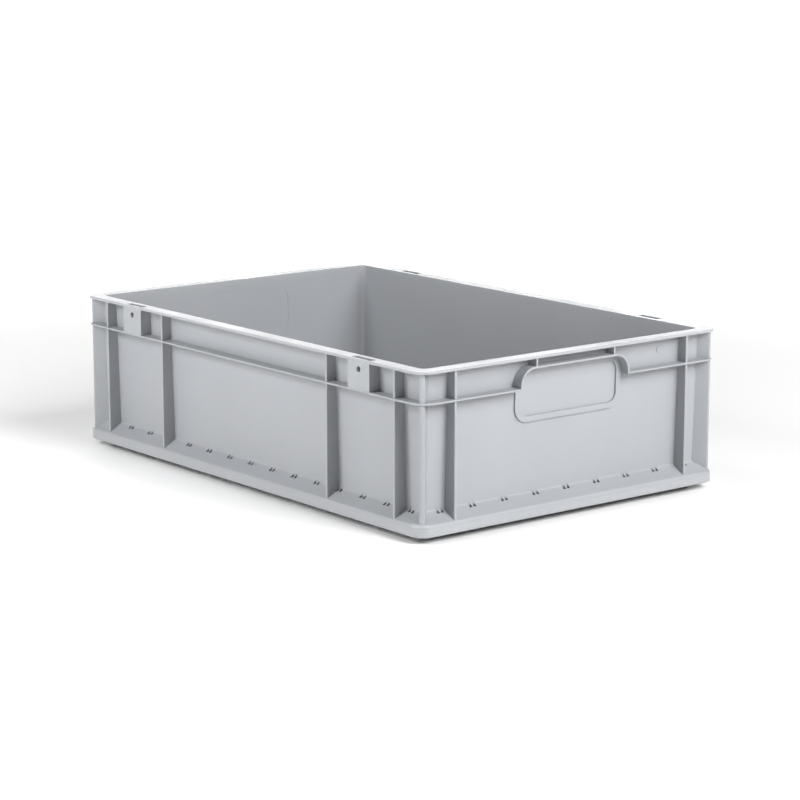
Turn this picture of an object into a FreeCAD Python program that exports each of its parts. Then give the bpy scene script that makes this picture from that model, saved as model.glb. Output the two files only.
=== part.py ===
import FreeCAD, Part
import math
import os

# Stacking plastic crate, 600 x 400 x 170 mm, moulded in one piece in grey polypropylene.
# Every region of the moulding that does a job of its own is one solid here. Neighbouring
# solids share a face and never overlap.
# Millimetres. X runs along the length, Y across the width, Z up. The origin is the
# centre of the plane the crate rests on.
# "Inset" is the distance from the side of the 600 x 400 outline towards the middle.

LENGTH = 600.0
WIDTH = 400.0
HEIGHT = 170.0

# foot that drops into the rim of the crate below
FOOT_HEIGHT = 7.0
FOOT_INSET = 18.0
FOOT_THICKNESS = 4.0
FOOT_CORNER_RADIUS = 7.0
FOOT_CHAMFER = 1.5

# floor and the rib grid under it
FLOOR_THICKNESS = 2.5
GRID_RIB_THICKNESS = 1.8
GRID_CLEARANCE = 1.5
GRID_PITCH_X = 38.3
GRID_PITCH_Y = 41.2
GRID_LINES_EACH_WAY_X = 7
GRID_LINES_EACH_WAY_Y = 4

# base skirt: an upright band and a ledge sloping up from it to the wall
SKIRT_BOTTOM = FOOT_HEIGHT
BAND_INSET = 0.5
BAND_THICKNESS = 2.2
BAND_CORNER_RADIUS = 14.0
BAND_BOTTOM_RADIUS = 1.4
BAND_TOP_RADIUS = 3.0
LEDGE_OUTER_Z = SKIRT_BOTTOM + 11.8
LEDGE_INNER_Z = SKIRT_BOTTOM + 22.3
LEDGE_INNER_INSET = 17.0
LEDGE_INNER_RADIUS = 5.0
LEDGE_THICKNESS = 2.2
LEDGE_WALL_RADIUS = 3.0
GUSSET_LIFT = 1.5

# drain slots, a pair at every gusset, at the foot of the wall
SLOT_WIDTH = 3.2
SLOT_SPACING = 5.2
SLOT_OUTER_INSET = 12.4
SLOT_INNER_INSET = 16.6

# walls lean outwards towards the top
WALL_THICKNESS = 3.0
WALL_INSET_LOW = 17.0
WALL_INSET_HIGH = 13.0
WALL_CORNER_CENTRE_INSET = 22.0

# stacking rim
RIM_THICKNESS = 2.6
RIM_BOTTOM = HEIGHT - RIM_THICKNESS
RIM_CORNER_RADIUS = 16.0
RIM_INNER_INSET = WALL_INSET_HIGH + WALL_THICKNESS
RIM_EDGE_RADIUS = 0.9
RIM_LOWER_EDGE_RADIUS = 0.3

# flange round the walls, below the rim
FLANGE_BOTTOM = 137.0
FLANGE_THICKNESS = 2.2
FLANGE_TOP = FLANGE_BOTTOM + FLANGE_THICKNESS
FLANGE_INSET = 0.5
FLANGE_CORNER_RADIUS = 16.5
FLANGE_EDGE_RADIUS = 0.8

# upright ribs
RIB_THICKNESS = 3.0
RIB_INSET = 1.8
RIB_EDGE_RADIUS = 0.9
LONG_SIDE_RIBS = (-256.0, -147.5, 147.5, 256.0)
SHORT_SIDE_RIBS = (-155.0, 155.0)
CORNER_RIB_WIDTH = 5.5
CORNER_RIB_END = 344.7
CORNER_RIB_END_RADIUS = 2.2
RIB_START = LEDGE_OUTER_Z - 4.0
CORNER_RIB_REACH = 30.0

# grip on each short side: an arch over a raised frame on the closed wall
ARCH_HALF_WIDTH = 73.0
ARCH_TOP = 159.6
ARCH_THICKNESS = 2.4
ARCH_CORNER_RADIUS = 18.5
ARCH_INSET = 0.5
FRAME_BOTTOM = 102.0
FRAME_PROUD = 2.0
FRAME_BAND = 5.8
FRAME_LOWER_RADIUS = 16.0
GRIP_WEBS = (-52.0, 52.0)
GRIP_WEB_THICKNESS = 2.0
GRIP_WEB_INSET = 0.9
GRIP_PANEL_RECESS = 0.4

# pockets that take the hooks of a lid, two on each long side
POCKET_POSITIONS = (-202.5, 202.5)
POCKET_WIDTH = 34.5
POCKET_INSET = 0.3
POCKET_FRONT_PLATE = 2.2
POCKET_SIDE_PLATE = 1.5
PIN_HOLE_RADIUS = 3.0
PIN_HOLE_Z = 159.7
RIM_SLOT_LENGTH = POCKET_WIDTH - 2 * POCKET_SIDE_PLATE
RIM_SLOT_OUTER_INSET = 3.1
RIM_SLOT_INNER_INSET = 10.6

# blank round mark on one short wall
MARK_RADIUS = 4.0
MARK_Y = 126.0
MARK_Z = 154.5
MARK_HEIGHT = 0.4

# helpers for cutting: a length past everything, a depth inside the walls, a measuring tolerance
REACH = 1000.0
INSIDE_WALL_INSET = WALL_INSET_LOW + 2.0
SLOT_CUT_TOP = LEDGE_INNER_Z + LEDGE_WALL_RADIUS  # clear of the hollow radius
TOLERANCE = 0.01


def box(x_range, y_range, z_range):
    """A box between two x values, two y values and two z values."""
    x_low, x_high = sorted(x_range)
    y_low, y_high = sorted(y_range)
    z_low, z_high = sorted(z_range)
    corner = FreeCAD.Vector(x_low, y_low, z_low)
    return Part.makeBox(x_high - x_low, y_high - y_low, z_high - z_low, corner)


def rounded_outline(inset, radius, z):
    """The 600 x 400 outline moved in by inset, with rounded corners, as a closed wire."""
    arcs = []
    for quarter, (side_x, side_y) in enumerate(((1, 1), (-1, 1), (-1, -1), (1, -1))):
        centre_x = side_x * (LENGTH / 2 - inset - radius)
        centre_y = side_y * (WIDTH / 2 - inset - radius)
        centre = FreeCAD.Vector(centre_x, centre_y, z)
        circle = Part.Circle(centre, FreeCAD.Vector(0, 0, 1), radius)
        start = quarter * math.pi / 2
        arcs.append(Part.Arc(circle, start, start + math.pi / 2).toShape())
    edges = []
    for index, arc in enumerate(arcs):
        following = arcs[(index + 1) % 4]
        edges.append(arc)
        edges.append(Part.makeLine(arc.lastVertex().Point, following.firstVertex().Point))
    return Part.Wire(edges)


def rounded_slab(inset, radius, z_low, z_high):
    """A flat slab with the rounded outline."""
    face = Part.Face(rounded_outline(inset, radius, z_low))
    return face.extrude(FreeCAD.Vector(0, 0, z_high - z_low))


def rounded_taper(low, high):
    """A block between two rounded outlines, each given as (inset, radius, z)."""
    return Part.makeLoft([rounded_outline(*low), rounded_outline(*high)], True, True)


def soften(solid, radius, wanted):
    """Round off the edges for which wanted(edge) is true."""
    return solid.makeFillet(radius, [edge for edge in solid.Edges if wanted(edge)])


def edge_lies_at(z):
    """A test for edges that lie flat at the height z."""
    def test(edge):
        span = edge.BoundBox
        return abs(span.ZMin - z) < TOLERANCE and abs(span.ZMax - z) < TOLERANCE
    return test


def wall_block(grow):
    """The block inside the outer faces of the walls, moved outwards by grow."""
    low = WALL_INSET_LOW - grow
    high = WALL_INSET_HIGH - grow
    z_low = SKIRT_BOTTOM
    z_high = RIM_BOTTOM
    centre_x = LENGTH / 2 - WALL_CORNER_CENTRE_INSET
    centre_y = WIDTH / 2 - WALL_CORNER_CENTRE_INSET
    x_low, x_high = LENGTH / 2 - low, LENGTH / 2 - high
    y_low, y_high = WIDTH / 2 - low, WIDTH / 2 - high
    along = Part.makePolygon([
        FreeCAD.Vector(-x_low, -centre_y, z_low),
        FreeCAD.Vector(x_low, -centre_y, z_low),
        FreeCAD.Vector(x_high, -centre_y, z_high),
        FreeCAD.Vector(-x_high, -centre_y, z_high),
        FreeCAD.Vector(-x_low, -centre_y, z_low),
    ])
    across = Part.makePolygon([
        FreeCAD.Vector(-centre_x, -y_low, z_low),
        FreeCAD.Vector(-centre_x, y_low, z_low),
        FreeCAD.Vector(-centre_x, y_high, z_high),
        FreeCAD.Vector(-centre_x, -y_high, z_high),
        FreeCAD.Vector(-centre_x, -y_low, z_low),
    ])
    block = Part.Face(along).extrude(FreeCAD.Vector(0, 2 * centre_y, 0))
    block = block.fuse(Part.Face(across).extrude(FreeCAD.Vector(2 * centre_x, 0, 0)))
    for side_x in (-1, 1):
        for side_y in (-1, 1):
            foot_point = FreeCAD.Vector(side_x * centre_x, side_y * centre_y, z_low)
            radius_low = WALL_CORNER_CENTRE_INSET - low
            radius_high = WALL_CORNER_CENTRE_INSET - high
            cone = Part.makeCone(radius_low, radius_high, z_high - z_low, foot_point)
            block = block.fuse(cone)
    return block.removeSplitter()


def mitre_sector(side):
    """The part of space that belongs to one side, cut at 45 degrees at the corners."""
    half_x = LENGTH / 2
    half_y = WIDTH / 2
    meeting = half_x - half_y
    sectors = {
        "front": ((-half_x, -half_y), (half_x, -half_y), (meeting, 0), (-meeting, 0)),
        "rear": ((half_x, half_y), (-half_x, half_y), (-meeting, 0), (meeting, 0)),
        "left": ((-half_x, half_y), (-half_x, -half_y), (-meeting, 0)),
        "right": ((half_x, -half_y), (half_x, half_y), (meeting, 0)),
    }
    points = [FreeCAD.Vector(x, y, 0) for x, y in sectors[side]]
    face = Part.Face(Part.makePolygon(points + [points[0]]))
    return face.extrude(FreeCAD.Vector(0, 0, REACH))


def one_solid(shape):
    """The single solid inside a shape."""
    shape = shape.removeSplitter()
    if len(shape.Solids) != 1:
        raise ValueError("expected one solid, got %d" % len(shape.Solids))
    return shape.Solids[0]


def fused(shapes):
    """Several shapes joined into one."""
    joined = shapes[0]
    for shape in shapes[1:]:
        joined = joined.fuse(shape)
    return joined


OUTER_BLOCK = wall_block(0)
INNER_BLOCK = wall_block(-WALL_THICKNESS)
RIGHT = 1
LEFT = -1
REAR = 1
FRONT = -1
SIDE_X = {"left": LEFT, "right": RIGHT}
SIDE_Y = {"front": FRONT, "rear": REAR}


def make_floor():
    """Flat floor between the walls."""
    floor_zone = box((-REACH, REACH), (-REACH, REACH), (FOOT_HEIGHT, FOOT_HEIGHT + FLOOR_THICKNESS))
    return one_solid(INNER_BLOCK.common(floor_zone))


def make_foot():
    """Ring under the floor, chamfered so it finds its way into the rim below."""
    chamfer_top = (FOOT_INSET, FOOT_CORNER_RADIUS, FOOT_CHAMFER)
    chamfer_bottom = (FOOT_INSET + FOOT_CHAMFER, FOOT_CORNER_RADIUS - FOOT_CHAMFER, 0)
    outer = rounded_slab(FOOT_INSET, FOOT_CORNER_RADIUS, FOOT_CHAMFER, FOOT_HEIGHT)
    outer = outer.fuse(rounded_taper(chamfer_bottom, chamfer_top))
    inner_inset = FOOT_INSET + FOOT_THICKNESS
    inner_radius = FOOT_CORNER_RADIUS - FOOT_THICKNESS
    return one_solid(outer.cut(rounded_slab(inner_inset, inner_radius, 0, FOOT_HEIGHT)))


def make_underside_grid():
    """Crossing ribs under the floor, inside the foot."""
    half = GRID_RIB_THICKNESS / 2
    heights = (GRID_CLEARANCE, FOOT_HEIGHT)
    ribs = []
    for line in range(-GRID_LINES_EACH_WAY_X, GRID_LINES_EACH_WAY_X + 1):
        x = line * GRID_PITCH_X
        ribs.append(box((x - half, x + half), (-REACH, REACH), heights))
    for line in range(-GRID_LINES_EACH_WAY_Y, GRID_LINES_EACH_WAY_Y + 1):
        y = line * GRID_PITCH_Y
        ribs.append(box((-REACH, REACH), (y - half, y + half), heights))
    inner_inset = FOOT_INSET + FOOT_THICKNESS
    inner_radius = FOOT_CORNER_RADIUS - FOOT_THICKNESS
    zone = rounded_slab(inner_inset, inner_radius, 0, FOOT_HEIGHT)
    return one_solid(fused(ribs).common(zone))


def rounded_panel(half_width, z_low, z_high, radius):
    """A rounded rectangle standing in the plane x = 0."""
    edges = []
    centres = (
        (half_width - radius, z_high - radius, 0),
        (-(half_width - radius), z_high - radius, 1),
        (-(half_width - radius), z_low + radius, 2),
        (half_width - radius, z_low + radius, 3),
    )
    arcs = []
    for y, z, quarter in centres:
        middle = math.pi / 4 + quarter * math.pi / 2
        points = []
        for angle in (middle - math.pi / 4, middle, middle + math.pi / 4):
            points.append(FreeCAD.Vector(0, y + radius * math.cos(angle), z + radius * math.sin(angle)))
        arcs.append(Part.Arc(*points).toShape())
    for index, arc in enumerate(arcs):
        following = arcs[(index + 1) % 4]
        edges.append(arc)
        edges.append(Part.makeLine(arc.lastVertex().Point, following.firstVertex().Point))
    return Part.Face(Part.Wire(edges))


def upright_prism(face, outward, inset):
    """A face in the plane x = 0 carried out to the given inset of one short side."""
    return face.extrude(FreeCAD.Vector(outward * (LENGTH / 2 - inset), 0, 0))


def make_walls():
    """Four straight walls and four rounded corner walls, all leaning outwards."""
    shell = OUTER_BLOCK.cut(INNER_BLOCK)
    split_x = LENGTH / 2 - WALL_CORNER_CENTRE_INSET
    split_y = WIDTH / 2 - WALL_CORNER_CENTRE_INSET
    heights = (0, HEIGHT)
    walls = {}
    for name, side in SIDE_Y.items():
        zone = box((-split_x, split_x), (side * split_y, side * REACH), heights)
        walls["long_wall_" + name] = shell.common(zone)
    for name, side in SIDE_X.items():
        zone = box((side * split_x, side * REACH), (-split_y, split_y), heights)
        walls["short_wall_" + name] = grip_wall(shell.common(zone), side)
    for name_y, side_y in SIDE_Y.items():
        for name_x, side_x in SIDE_X.items():
            zone = box((side_x * split_x, side_x * REACH), (side_y * split_y, side_y * REACH), heights)
            walls["corner_wall_%s_%s" % (name_y, name_x)] = shell.common(zone)
    mark_base = FreeCAD.Vector(LENGTH / 2 - 2 * WALL_CORNER_CENTRE_INSET, MARK_Y, MARK_Z)
    mark = Part.makeCylinder(MARK_RADIUS, REACH, mark_base, FreeCAD.Vector(1, 0, 0))
    mark = mark.common(wall_block(MARK_HEIGHT)).cut(INNER_BLOCK)
    walls["short_wall_right"] = walls["short_wall_right"].fuse(mark)
    return {name: one_solid(wall) for name, wall in walls.items()}


def grip_wall(wall, side):
    """A short wall with the shallow closed-grip panel let into its inner face."""
    half_width = ARCH_HALF_WIDTH - ARCH_THICKNESS
    outline = rounded_panel(half_width, FRAME_BOTTOM, ARCH_TOP - ARCH_THICKNESS, FRAME_LOWER_RADIUS)
    recess = upright_prism(outline, side, 0).common(wall_block(GRIP_PANEL_RECESS - WALL_THICKNESS))
    return wall.cut(recess)


def is_ledge_foot_of_wall(edge):
    """True for the edges where the ledge meets the walls."""
    span = edge.BoundBox
    return span.ZMin > LEDGE_OUTER_Z + 3 and span.ZMax < LEDGE_INNER_Z + 1


def make_filled_body():
    """The block inside the walls with the band and ledge, rounded, before the skirt is hollowed."""
    band = rounded_slab(BAND_INSET, BAND_CORNER_RADIUS, SKIRT_BOTTOM, LEDGE_OUTER_Z)
    ledge_low = (BAND_INSET, BAND_CORNER_RADIUS, LEDGE_OUTER_Z)
    ledge_high = (LEDGE_INNER_INSET, LEDGE_INNER_RADIUS, LEDGE_INNER_Z)
    outside = band.fuse(rounded_taper(ledge_low, ledge_high))
    outside = soften(outside, BAND_BOTTOM_RADIUS, edge_lies_at(SKIRT_BOTTOM))
    outside = soften(outside, BAND_TOP_RADIUS, edge_lies_at(LEDGE_OUTER_Z))
    return soften(outside.fuse(OUTER_BLOCK), LEDGE_WALL_RADIUS, is_ledge_foot_of_wall)


def make_skirt_cavity():
    """Hollow under the ledge, open at the bottom."""
    inset = BAND_INSET + BAND_THICKNESS
    radius = BAND_CORNER_RADIUS - BAND_THICKNESS
    top_of_band = LEDGE_OUTER_Z - LEDGE_THICKNESS
    hollow = rounded_slab(inset, radius, SKIRT_BOTTOM, top_of_band)
    low = (inset, radius, top_of_band)
    high = (LEDGE_INNER_INSET, LEDGE_INNER_RADIUS, LEDGE_INNER_Z - LEDGE_THICKNESS)
    return hollow.fuse(rounded_taper(low, high))


FILLED_BODY = make_filled_body()
SKIRT_CAVITY = make_skirt_cavity()


def gusset_positions(pitch, lines_each_way):
    """Evenly spaced places along a side, the middle one included."""
    return [line * pitch for line in range(-lines_each_way, lines_each_way + 1)]


def side_box(side, along, across_inset, z_range):
    """A box on one side, given along the side and by inset across it."""
    inset_out, inset_in = across_inset
    if side in SIDE_Y:
        sign = SIDE_Y[side]
        return box(along, (sign * (WIDTH / 2 - inset_out), sign * (WIDTH / 2 - inset_in)), z_range)
    sign = SIDE_X[side]
    return box((sign * (LENGTH / 2 - inset_out), sign * (LENGTH / 2 - inset_in)), along, z_range)


def make_skirt(side):
    """One side of the base skirt with its gussets and drain slots."""
    skirt = FILLED_BODY.cut(OUTER_BLOCK).cut(SKIRT_CAVITY).common(mitre_sector(side))
    if side in SIDE_Y:
        places = gusset_positions(GRID_PITCH_X, GRID_LINES_EACH_WAY_X)
    else:
        places = gusset_positions(GRID_PITCH_Y, GRID_LINES_EACH_WAY_Y)
    half = GRID_RIB_THICKNESS / 2
    gusset_heights = (SKIRT_BOTTOM + GUSSET_LIFT, LEDGE_INNER_Z)
    for place in places:
        gusset = side_box(side, (place - half, place + half), (0, INSIDE_WALL_INSET), gusset_heights)
        skirt = skirt.fuse(gusset.common(SKIRT_CAVITY).cut(OUTER_BLOCK))
    for place in places:
        for shift in (-SLOT_SPACING / 2, SLOT_SPACING / 2):
            middle = place + shift
            along = (middle - SLOT_WIDTH / 2, middle + SLOT_WIDTH / 2)
            across = (SLOT_OUTER_INSET, SLOT_INNER_INSET)
            skirt = skirt.cut(side_box(side, along, across, (LEDGE_OUTER_Z, SLOT_CUT_TOP)))
    return one_solid(skirt)


def make_rim():
    """The four mitred sides of the stacking rim."""
    ring = rounded_slab(0, RIM_CORNER_RADIUS, RIM_BOTTOM, HEIGHT)
    ring = soften(ring, RIM_EDGE_RADIUS, edge_lies_at(HEIGHT))
    ring = soften(ring, RIM_LOWER_EDGE_RADIUS, edge_lies_at(RIM_BOTTOM))
    inner_radius = WALL_CORNER_CENTRE_INSET - RIM_INNER_INSET
    ring = ring.cut(rounded_slab(RIM_INNER_INSET, inner_radius, RIM_BOTTOM, HEIGHT))
    sides = {}
    for side in ("front", "rear", "left", "right"):
        part = ring.common(mitre_sector(side))
        if side in SIDE_Y:
            for x in POCKET_POSITIONS:
                along = (x - RIM_SLOT_LENGTH / 2, x + RIM_SLOT_LENGTH / 2)
                across = (RIM_SLOT_OUTER_INSET, RIM_SLOT_INNER_INSET)
                part = part.cut(side_box(side, along, across, (RIM_BOTTOM, HEIGHT)))
        sides["stacking_rim_" + side] = one_solid(part)
    return sides


def rib_on(side, place):
    """One upright rib from the ledge up to the rim."""
    along = (place - RIB_THICKNESS / 2, place + RIB_THICKNESS / 2)
    rib = side_box(side, along, (RIB_INSET, INSIDE_WALL_INSET), (RIB_START, RIM_BOTTOM))
    outer_line = LENGTH / 2 - RIB_INSET if side in SIDE_X else WIDTH / 2 - RIB_INSET

    def is_outer_upright(edge):
        span = edge.BoundBox
        reach = (span.XMin, span.XMax) if side in SIDE_X else (span.YMin, span.YMax)
        upright = span.ZMax - span.ZMin > RIM_BOTTOM / 2
        return upright and max(abs(reach[0]), abs(reach[1])) > outer_line - TOLERANCE

    rib = soften(rib, RIB_EDGE_RADIUS, is_outer_upright)
    return one_solid(rib.cut(FILLED_BODY))


def corner_rib(side_x, side_y):
    """One rib standing out at 45 degrees from a corner wall."""
    half_width = CORNER_RIB_WIDTH / 2
    start = CORNER_RIB_END - CORNER_RIB_REACH
    corner = FreeCAD.Vector(start, -half_width, RIB_START)
    rib = Part.makeBox(CORNER_RIB_END - start, CORNER_RIB_WIDTH, RIM_BOTTOM - RIB_START, corner)

    def is_outer_upright(edge):
        span = edge.BoundBox
        return span.XMin > CORNER_RIB_END - TOLERANCE and span.ZMax - span.ZMin > 1

    rib = soften(rib, CORNER_RIB_END_RADIUS, is_outer_upright)
    angle = math.degrees(math.atan2(side_y, side_x))
    rib.rotate(FreeCAD.Vector(0, 0, 0), FreeCAD.Vector(0, 0, 1), angle)
    offset = (LENGTH - WIDTH) / 4
    rib.translate(FreeCAD.Vector(side_x * offset, -side_y * offset, 0))
    return one_solid(rib.cut(FILLED_BODY))


def arch_outline(half_width, z_high, radius):
    """Arch shape in the plane x = 0: rounded at the top, open legs down to the flange."""
    return rounded_panel(half_width, FLANGE_BOTTOM - 2 * radius, z_high, radius)


def make_grip_arch(side):
    """Arch over the grip with the two small webs that tie it to the rim."""
    sign = SIDE_X[side]
    inner_half = ARCH_HALF_WIDTH - ARCH_THICKNESS
    outer = arch_outline(ARCH_HALF_WIDTH, ARCH_TOP, ARCH_CORNER_RADIUS)
    inner = arch_outline(inner_half, ARCH_TOP - ARCH_THICKNESS, ARCH_CORNER_RADIUS - ARCH_THICKNESS)
    arch = upright_prism(outer.cut(inner), sign, ARCH_INSET)
    above_flange = box((-REACH, REACH), (-REACH, REACH), (FLANGE_BOTTOM, HEIGHT))
    arch = arch.common(above_flange)
    face_x = sign * (LENGTH / 2 - ARCH_INSET)

    def is_on_outer_face(edge):
        span = edge.BoundBox
        on_face = abs(span.XMin - face_x) < TOLERANCE and abs(span.XMax - face_x) < TOLERANCE
        return on_face and span.ZMax > FLANGE_BOTTOM + TOLERANCE

    arch = soften(arch, FLANGE_EDGE_RADIUS, is_on_outer_face)
    for place in GRIP_WEBS:
        along = (place - GRIP_WEB_THICKNESS / 2, place + GRIP_WEB_THICKNESS / 2)
        heights = (ARCH_TOP - ARCH_THICKNESS / 2, RIM_BOTTOM)
        arch = arch.fuse(side_box(side, along, (GRIP_WEB_INSET, INSIDE_WALL_INSET), heights))
    return one_solid(arch.cut(OUTER_BLOCK))


def make_grip_frame(side, arch):
    """Raised frame on the wall under the arch."""
    half_width = ARCH_HALF_WIDTH - ARCH_THICKNESS
    frame_top = ARCH_TOP - ARCH_THICKNESS
    outer = rounded_panel(half_width, FRAME_BOTTOM, frame_top, FRAME_LOWER_RADIUS)
    inner_radius = FRAME_LOWER_RADIUS - FRAME_BAND
    inner = rounded_panel(half_width - FRAME_BAND, FRAME_BOTTOM + FRAME_BAND,
                          frame_top - FRAME_BAND, inner_radius)
    ring = upright_prism(outer.cut(inner), SIDE_X[side], 0)
    return one_solid(ring.common(wall_block(FRAME_PROUD)).cut(OUTER_BLOCK).cut(arch))


def make_flange(side, standing_parts):
    """One half of the flange: a long side, two corners and a stub on each short side."""
    ring = rounded_slab(FLANGE_INSET, FLANGE_CORNER_RADIUS, FLANGE_BOTTOM, FLANGE_TOP)
    ring = soften(ring, FLANGE_EDGE_RADIUS, edge_lies_at(FLANGE_TOP))
    ring = soften(ring, FLANGE_EDGE_RADIUS, edge_lies_at(FLANGE_BOTTOM))
    sign = SIDE_Y[side]
    half = box((-REACH, REACH), (sign * ARCH_HALF_WIDTH, sign * REACH), (0, HEIGHT))
    flange = ring.common(half).cut(OUTER_BLOCK)
    for part in standing_parts:
        flange = flange.cut(part)
    return one_solid(flange)


def make_pocket(side, x):
    """Hook pocket for a lid: a front plate with a pin hole and two side plates."""
    half = POCKET_WIDTH / 2
    heights = (FLANGE_TOP, RIM_BOTTOM)
    pocket = side_box(side, (x - half, x + half), (POCKET_INSET, WALL_INSET_LOW), heights)
    hollow_along = (x - half + POCKET_SIDE_PLATE, x + half - POCKET_SIDE_PLATE)
    hollow_across = (POCKET_INSET + POCKET_FRONT_PLATE, WALL_INSET_LOW)
    pocket = pocket.cut(side_box(side, hollow_along, hollow_across, heights)).cut(OUTER_BLOCK)
    sign = SIDE_Y[side]
    hole_start = FreeCAD.Vector(x, sign * (WIDTH / 2 - WALL_INSET_HIGH), PIN_HOLE_Z)
    hole = Part.makeCylinder(PIN_HOLE_RADIUS, WALL_INSET_HIGH, hole_start, FreeCAD.Vector(0, sign, 0))
    return one_solid(pocket.cut(hole))


def build_all():
    """Every named solid of the crate."""
    parts = {
        "floor_panel": make_floor(),
        "stacking_foot": make_foot(),
        "underside_rib_grid": make_underside_grid(),
    }
    parts.update(make_walls())
    parts.update(make_rim())
    for side in ("front", "rear", "left", "right"):
        parts["base_skirt_" + side] = make_skirt(side)
    for name_y, side_y in SIDE_Y.items():
        for name_x, side_x in SIDE_X.items():
            parts["corner_rib_%s_%s" % (name_y, name_x)] = corner_rib(side_x, side_y)
    for side in SIDE_Y:
        ribs = [rib_on(side, place) for place in LONG_SIDE_RIBS]
        parts["side_ribs_" + side] = Part.makeCompound(ribs)
    for side in SIDE_X:
        ribs = [rib_on(side, place) for place in SHORT_SIDE_RIBS]
        parts["side_ribs_" + side] = Part.makeCompound(ribs)
        arch = make_grip_arch(side)
        parts["grip_arch_" + side] = arch
        parts["grip_frame_" + side] = make_grip_frame(side, arch)
    standing = [shape for name, shape in parts.items() if "rib_" in name or "ribs_" in name]
    for side in SIDE_Y:
        parts["mid_flange_" + side] = make_flange(side, standing)
        for name_x, x in zip(("left", "right"), POCKET_POSITIONS):
            parts["hinge_pocket_%s_%s" % (side, name_x)] = make_pocket(side, x)
    return parts


os.makedirs("parts", exist_ok=True)
for part_name, part_shape in build_all().items():
    part_shape.exportStep("parts/%s.step" % part_name)
    print(part_name, round(part_shape.Volume / 1000, 2), "cm3", len(part_shape.Solids), "solid(s)")
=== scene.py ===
import math

import bpy
from mathutils import Matrix, Vector


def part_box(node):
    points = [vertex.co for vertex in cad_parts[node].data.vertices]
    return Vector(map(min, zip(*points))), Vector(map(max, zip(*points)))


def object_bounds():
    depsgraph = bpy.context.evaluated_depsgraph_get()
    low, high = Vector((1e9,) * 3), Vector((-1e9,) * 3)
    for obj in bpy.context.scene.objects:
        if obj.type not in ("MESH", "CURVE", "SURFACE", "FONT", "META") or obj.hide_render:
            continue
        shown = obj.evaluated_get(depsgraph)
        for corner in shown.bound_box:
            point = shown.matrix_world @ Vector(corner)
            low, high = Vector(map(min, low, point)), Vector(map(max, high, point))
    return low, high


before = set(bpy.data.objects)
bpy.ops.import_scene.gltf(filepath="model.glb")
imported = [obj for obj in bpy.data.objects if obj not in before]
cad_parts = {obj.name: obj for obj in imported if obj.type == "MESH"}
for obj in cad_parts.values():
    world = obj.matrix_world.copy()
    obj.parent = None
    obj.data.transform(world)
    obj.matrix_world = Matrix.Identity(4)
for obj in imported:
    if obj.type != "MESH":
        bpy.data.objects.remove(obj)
CAD_LOW, CAD_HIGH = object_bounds()

# A stacking plastic crate, moulded in one piece in grey polypropylene. Metres.

DARKER_PLASTIC = (0.268, 0.277, 0.292, 1)
LIGHTER_PLASTIC = (0.284, 0.293, 0.308, 1)
# the scuffed colour, also used as a painted highlight: a lighter tint on the band and the rim that stands
# in for light
SCUFFED_AND_HIGHLIT_PLASTIC = (0.345, 0.353, 0.366, 1)
POLYPROPYLENE_IOR = 1.49

# noise scales of the patterns in the plastic, in features per metre
CLOUD_SCALE = 7.0
STREAK_SCALE = (16.0, 16.0, 2.5)
SCUFF_SCALE = (60.0, 60.0, 900.0)
WAVE_SCALE = 11.0
GRAIN_SCALE = 1400.0

# roughness of the moulded surface, from smooth to dull, and of a scuff
SATIN_ROUGHNESS = (0.42, 0.54)
SCUFF_ROUGHNESS = 0.68

# scuffs and a painted highlight lie on the upright band of the skirt, up to this height, and on the rim,
# and they fade out over this distance; the band and the scuffs are limited to this depth inside the
# outline, and between two scuffs the painted highlight, a lighter tint standing in for light on the band
# and the rim, has this share of a scuff's strength
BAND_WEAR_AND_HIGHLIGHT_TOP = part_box("base_skirt_front")[0][2] + 0.007
WEAR_AND_HIGHLIGHT_FADE = 0.006
OUTLINE_DEPTH = 0.008
PAINTED_HIGHLIGHT_BETWEEN_SCUFFS = 0.4

# the floor is a pale square; its glow grows between the last two distances from the middle
FLOOR_REACH = 20.0
FLOOR_COLOUR = (0.80, 0.80, 0.80, 1)
FLOOR_ROUGHNESS = 0.9
GLOW_STARTS, GLOW_IS_FULL = 0.35, 2.5

# the surround is pale up to the first height and has faded by the second (sine of elevation)
HORIZON_FADE = (0.10, 0.22)


def look_camera(place, yaw, pitch, roll, lens):
    """Camera at a place in metres, turned by yaw from +X towards +Y and tipped down by pitch."""
    data = bpy.data.cameras.new("photo_camera")
    camera = bpy.data.objects.new("photo_camera", data)
    bpy.context.scene.collection.objects.link(camera)
    data.sensor_width = 36.0
    data.lens = lens
    data.clip_start = 0.1
    data.clip_end = 60.0
    forward = Vector((math.cos(pitch) * math.cos(yaw), math.cos(pitch) * math.sin(yaw), -math.sin(pitch)))
    right = forward.cross(Vector((0, 0, 1))).normalized()
    up = right.cross(forward)
    turned_right = math.cos(roll) * right - math.sin(roll) * up
    turned_up = math.sin(roll) * right + math.cos(roll) * up
    rotation = Matrix((turned_right, turned_up, -forward)).transposed()
    camera.matrix_world = Matrix.Translation(Vector(place)) @ rotation.to_4x4()
    bpy.context.scene.camera = camera


look_camera(place=(2.1917, -1.7352, 0.6382), yaw=2.4680, pitch=0.1999, roll=-0.0001, lens=117.864)


def new_material(name):
    """An empty node material and its tree."""
    material = bpy.data.materials.new(name)
    material.use_nodes = True
    tree = material.node_tree
    for node in list(tree.nodes):
        tree.nodes.remove(node)
    return material, tree


def noise(tree, place, scale, detail):
    """A noise texture in the crate's own metres."""
    texture = tree.nodes.new("ShaderNodeTexNoise")
    texture.inputs["Scale"].default_value = scale
    texture.inputs["Detail"].default_value = detail
    tree.links.new(place, texture.inputs["Vector"])
    return texture.outputs["Fac"]


def mapped(tree, value, from_range, to_range):
    """A value carried from one range to another, and held at its ends."""
    node = tree.nodes.new("ShaderNodeMapRange")
    node.inputs["From Min"].default_value, node.inputs["From Max"].default_value = from_range
    node.inputs["To Min"].default_value, node.inputs["To Max"].default_value = to_range
    tree.links.new(value, node.inputs["Value"])
    return node.outputs["Result"]


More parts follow.
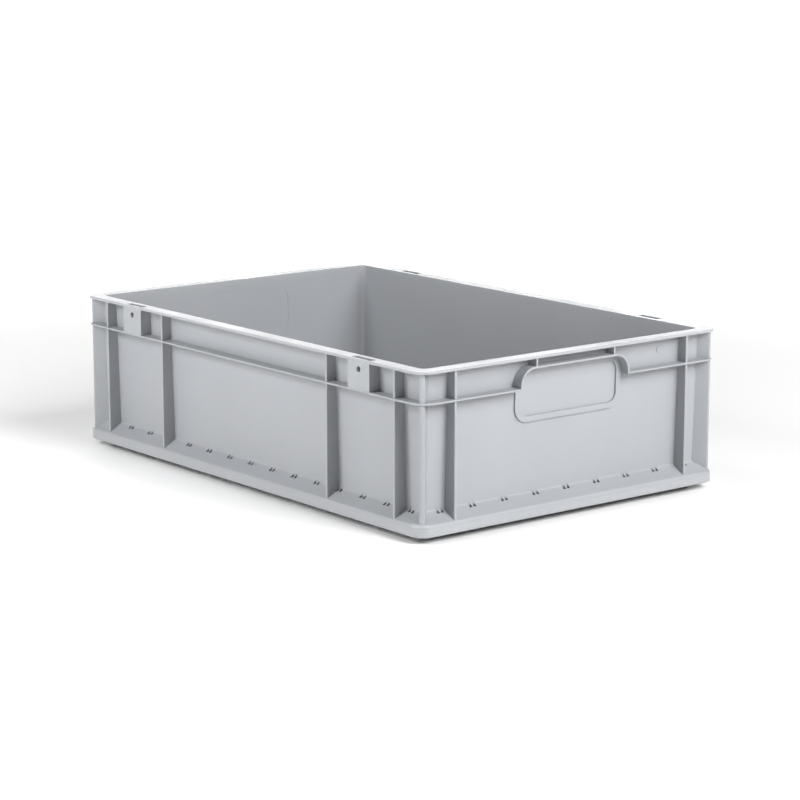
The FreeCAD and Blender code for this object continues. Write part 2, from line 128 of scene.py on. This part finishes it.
def stretched(tree, place, scale):
    """The place vector scaled by a different amount along each axis."""
    node = tree.nodes.new("ShaderNodeMapping")
    node.inputs["Scale"].default_value = scale
    tree.links.new(place, node.inputs["Vector"])
    return node.outputs["Vector"]


def product(tree, first, second):
    """Two values multiplied."""
    node = tree.nodes.new("ShaderNodeMath")
    node.operation = "MULTIPLY"
    tree.links.new(first, node.inputs[0])
    tree.links.new(second, node.inputs[1])
    return node.outputs["Value"]


def larger(tree, first, second):
    """The larger of two values."""
    node = tree.nodes.new("ShaderNodeMath")
    node.operation = "MAXIMUM"
    tree.links.new(first, node.inputs[0])
    tree.links.new(second, node.inputs[1])
    return node.outputs["Value"]


def distance_from_middle(tree, value):
    """A coordinate without its sign."""
    node = tree.nodes.new("ShaderNodeMath")
    node.operation = "ABSOLUTE"
    tree.links.new(value, node.inputs[0])
    return node.outputs["Value"]


def bumped(tree, height, strength, distance, below=None):
    """A bump, laid over the normal of another one if that is given."""
    node = tree.nodes.new("ShaderNodeBump")
    node.inputs["Strength"].default_value = strength
    node.inputs["Distance"].default_value = distance
    tree.links.new(height, node.inputs["Height"])
    if below:
        tree.links.new(below, node.inputs["Normal"])
    return node.outputs["Normal"]


def near_outline(tree, coordinate, half_size):
    """1 close to one pair of outer faces of the crate, 0 further in."""
    reach = (half_size - OUTLINE_DEPTH, half_size - OUTLINE_DEPTH / 2)
    return mapped(tree, distance_from_middle(tree, coordinate), reach, (0.0, 1.0))


def rubbed_and_highlit_zones(tree, place):
    """Where the crate is dragged and stacked, which also gets a painted highlight, and the outer edges of
    that, where scuffs are.
    """
    split = tree.nodes.new("ShaderNodeSeparateXYZ")
    tree.links.new(place, split.inputs["Vector"])
    height = split.outputs["Z"]
    outline = larger(tree, near_outline(tree, split.outputs["X"], CAD_HIGH[0]),
                     near_outline(tree, split.outputs["Y"], CAD_HIGH[1]))
    low_down = mapped(tree, height, (BAND_WEAR_AND_HIGHLIGHT_TOP, BAND_WEAR_AND_HIGHLIGHT_TOP + WEAR_AND_HIGHLIGHT_FADE), (1.0, 0.0))
    near_rim = mapped(tree, height, (CAD_HIGH[2] - WEAR_AND_HIGHLIGHT_FADE, CAD_HIGH[2]), (0.0, 1.0))
    zones = larger(tree, product(tree, low_down, outline), near_rim)
    return zones, product(tree, zones, outline)


def crate_plastic():
    """Grey polypropylene: fine grain, moulding waviness, flow streaks, rubbed edges and a painted
    highlight on the band and the rim.
    """
    material, tree = new_material("crate_plastic")
    links = tree.links
    output = tree.nodes.new("ShaderNodeOutputMaterial")
    shader = tree.nodes.new("ShaderNodeBsdfPrincipled")
    links.new(shader.outputs["BSDF"], output.inputs["Surface"])
    shader.inputs["IOR"].default_value = POLYPROPYLENE_IOR
    place = tree.nodes.new("ShaderNodeTexCoord").outputs["Object"]

    clouds = noise(tree, place, CLOUD_SCALE, 3.0)
    streaks = noise(tree, stretched(tree, place, STREAK_SCALE), 1.0, 4.0)
    tint = tree.nodes.new("ShaderNodeValToRGB")
    tint.color_ramp.elements[0].position = 0.3
    tint.color_ramp.elements[0].color = DARKER_PLASTIC
    tint.color_ramp.elements[1].position = 0.7
    tint.color_ramp.elements[1].color = LIGHTER_PLASTIC
    blend = tree.nodes.new("ShaderNodeMix")
    blend.inputs["Factor"].default_value = 0.5
    links.new(clouds, blend.inputs["A"])
    links.new(streaks, blend.inputs["B"])
    links.new(blend.outputs["Result"], tint.inputs["Fac"])

    lines = noise(tree, stretched(tree, place, SCUFF_SCALE), 1.0, 2.0)
    zones, edges = rubbed_and_highlit_zones(tree, place)
    scuffs = product(tree, mapped(tree, lines, (0.60, 0.68), (0.0, 1.0)), edges)
    # the scuffs, and between them a painted highlight over the band and the rim at a share of their
    # strength, standing in for light that falls there
    scuffs_and_painted_highlight = larger(tree, scuffs, mapped(tree, zones, (0.0, 1.0), (0.0, PAINTED_HIGHLIGHT_BETWEEN_SCUFFS)))
    scuffed_and_highlit = tree.nodes.new("ShaderNodeMix")
    scuffed_and_highlit.data_type = "RGBA"
    scuffed_and_highlit.inputs["B"].default_value = SCUFFED_AND_HIGHLIT_PLASTIC
    links.new(scuffs_and_painted_highlight, scuffed_and_highlit.inputs["Factor"])
    links.new(tint.outputs["Color"], scuffed_and_highlit.inputs["A"])
    links.new(scuffed_and_highlit.outputs["Result"], shader.inputs["Base Color"])

    satin = mapped(tree, clouds, (0.3, 0.7), SATIN_ROUGHNESS)
    scuffed = mapped(tree, scuffs, (0.0, 1.0), (0.0, SCUFF_ROUGHNESS))
    links.new(larger(tree, satin, scuffed), shader.inputs["Roughness"])

    waves = bumped(tree, noise(tree, place, WAVE_SCALE, 1.0), 0.10, 0.0010)
    grain = bumped(tree, noise(tree, place, GRAIN_SCALE, 2.0), 0.08, 0.0003, waves)
    links.new(bumped(tree, scuffs, 0.15, 0.0001, grain), shader.inputs["Normal"])
    return material


def floor_material():
    """Pale floor that glows softly, like a light table, away from the crate."""
    material, tree = new_material("studio_floor")
    nodes, links = tree.nodes, tree.links
    output = nodes.new("ShaderNodeOutputMaterial")
    shader = nodes.new("ShaderNodeBsdfPrincipled")
    shader.inputs["Base Color"].default_value = FLOOR_COLOUR
    shader.inputs["Roughness"].default_value = FLOOR_ROUGHNESS
    shader.inputs["Emission Color"].default_value = (1, 1, 1, 1)
    links.new(shader.outputs["BSDF"], output.inputs["Surface"])
    place = nodes.new("ShaderNodeTexCoord")
    distance = nodes.new("ShaderNodeVectorMath")
    distance.operation = "LENGTH"
    links.new(place.outputs["Object"], distance.inputs[0])
    glow = nodes.new("ShaderNodeMapRange")
    glow.interpolation_type = "SMOOTHERSTEP"
    glow.inputs["From Min"].default_value = GLOW_STARTS
    glow.inputs["From Max"].default_value = GLOW_IS_FULL
    glow.inputs["To Min"].default_value = 0.0
    glow.inputs["To Max"].default_value = 1.0
    links.new(distance.outputs["Value"], glow.inputs["Value"])
    links.new(glow.outputs["Result"], shader.inputs["Emission Strength"])
    return material


def make_floor():
    """One large pale square that is not part of the crate."""
    reach = FLOOR_REACH
    mesh = bpy.data.meshes.new("studio_floor")
    corners = [(-reach, -reach, 0), (reach, -reach, 0), (reach, reach, 0), (-reach, reach, 0)]
    mesh.from_pydata(corners, [], [(0, 1, 2, 3)])
    mesh.materials.append(floor_material())
    floor = bpy.data.objects.new("studio_floor", mesh)
    bpy.context.scene.collection.objects.link(floor)


def area_light(name, place, target, size, power):
    """A rectangular softbox at a place in metres, facing a target, with its power in watts."""
    data = bpy.data.lights.new(name, "AREA")
    data.shape = "RECTANGLE"
    data.size, data.size_y = size
    data.energy = power
    light = bpy.data.objects.new(name, data)
    light.location = place
    light.rotation_euler = (Vector(target) - Vector(place)).to_track_quat("-Z", "Y").to_euler()
    bpy.context.scene.collection.objects.link(light)


def world_light(at_horizon, overhead):
    """Light from all round: pale at the horizon, like lit studio walls, and dim above."""
    world = bpy.data.worlds.new("studio_world")
    world.use_nodes = True
    tree = world.node_tree
    background = tree.nodes["Background"]
    background.inputs["Color"].default_value = (1, 1, 1, 1)
    split = tree.nodes.new("ShaderNodeSeparateXYZ")
    tree.links.new(tree.nodes.new("ShaderNodeTexCoord").outputs["Generated"], split.inputs["Vector"])
    strength = mapped(tree, split.outputs["Z"], HORIZON_FADE, (at_horizon, overhead))
    tree.links.new(strength, background.inputs["Strength"])
    bpy.context.scene.world = world


plastic = crate_plastic()
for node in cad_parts.values():
    node.data.materials.clear()
    node.data.materials.append(plastic)

make_floor()
world_light(at_horizon=1.0, overhead=0.04)
LONG_SIDE = (0, -0.2, 0.08)
SHORT_SIDE = (0.3, 0, 0.08)
area_light("long_side_main", (-0.30, -1.3, 0.9), LONG_SIDE, (0.5, 0.5), 16.5)
area_light("long_side_top", (0.05, -0.7, 1.8), LONG_SIDE, (0.5, 0.5), 4.0)
area_light("long_side_low", (0.05, -1.3, 0.35), LONG_SIDE, (0.5, 0.4), 4.0)
area_light("short_side_main", (2.9, 0.6, 2.2), SHORT_SIDE, (2.0, 2.0), 157)
area_light("short_side_near", (1.5, 0.1, 0.8), SHORT_SIDE, (0.5, 0.5), 8.2)
area_light("rim_light", (-3.3, 2.6, 0.7), (0, 0, 0.16), (4.0, 0.8), 128)
bpy.context.scene.view_settings.view_transform = "Standard"
